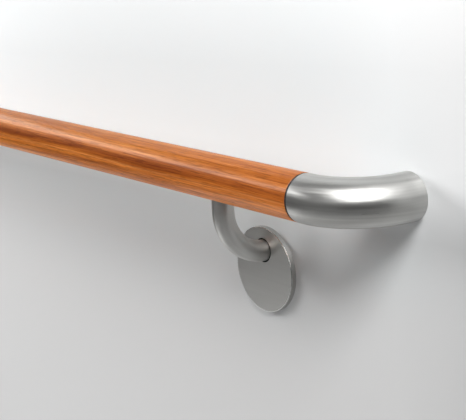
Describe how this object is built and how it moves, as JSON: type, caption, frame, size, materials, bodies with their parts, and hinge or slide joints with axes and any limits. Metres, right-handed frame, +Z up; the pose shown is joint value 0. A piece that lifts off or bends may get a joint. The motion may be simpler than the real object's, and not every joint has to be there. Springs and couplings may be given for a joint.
{
  "type": "wall handrail",
  "caption": "Round stained wood wall handrail with satin steel return elbows at its ends, carried on bent rod brackets with round cover roses.",
  "frame": {"origin": "on the wall's face, midway between the two elbow fixings, at the height of the rail's axis", "axes": "+X along the rail, +Y into the wall, +Z up; the handrail lies at y below 0"},
  "size_m": [1.2024, 0.0832, 0.1627],
  "materials": {
    "wood_rail": "stained and lacquered",
    "joint_ring": "matt black",
    "return_elbow": "satin",
    "elbow_end_disc": "turned",
    "joint_stud": "zinc plated",
    "rail_end_insert": "turned",
    "wall_anchor": "turned",
    "anchor_set_screw": "plain",
    "bracket_arm": "satin",
    "arm_stud": "zinc plated",
    "rail_under_insert": "turned",
    "base_plate": "mill finish",
    "rose_cord": "matt black",
    "cover_rose": "satin"
  },
  "bodies": {
    "root": {"wood_rail": "wood_rail", "joint_ring_right": "joint_ring", "joint_ring_left": "joint_ring", "return_elbow_right": "return_elbow", "return_elbow_left": "return_elbow", "elbow_end_disc_right": "elbow_end_disc", "elbow_end_disc_left": "elbow_end_disc", "joint_stud_right": "joint_stud", "joint_stud_left": "joint_stud", "rail_end_insert_right": "rail_end_insert", "rail_end_insert_left": "rail_end_insert", "wall_anchor_right": "wall_anchor", "wall_anchor_left": "wall_anchor", "anchor_set_screw_right": "anchor_set_screw", "anchor_set_screw_left": "anchor_set_screw", "bracket_arm_right": "bracket_arm", "bracket_arm_left": "bracket_arm", "arm_stud_right": "arm_stud", "arm_stud_left": "arm_stud", "rail_under_insert_right": "rail_under_insert", "rail_under_insert_left": "rail_under_insert", "base_plate_right": "base_plate", "base_plate_left": "base_plate", "rose_cord_right": "rose_cord", "rose_cord_left": "rose_cord", "cover_rose_right": "cover_rose", "cover_rose_left": "cover_rose"}
  },
  "joints": []
}
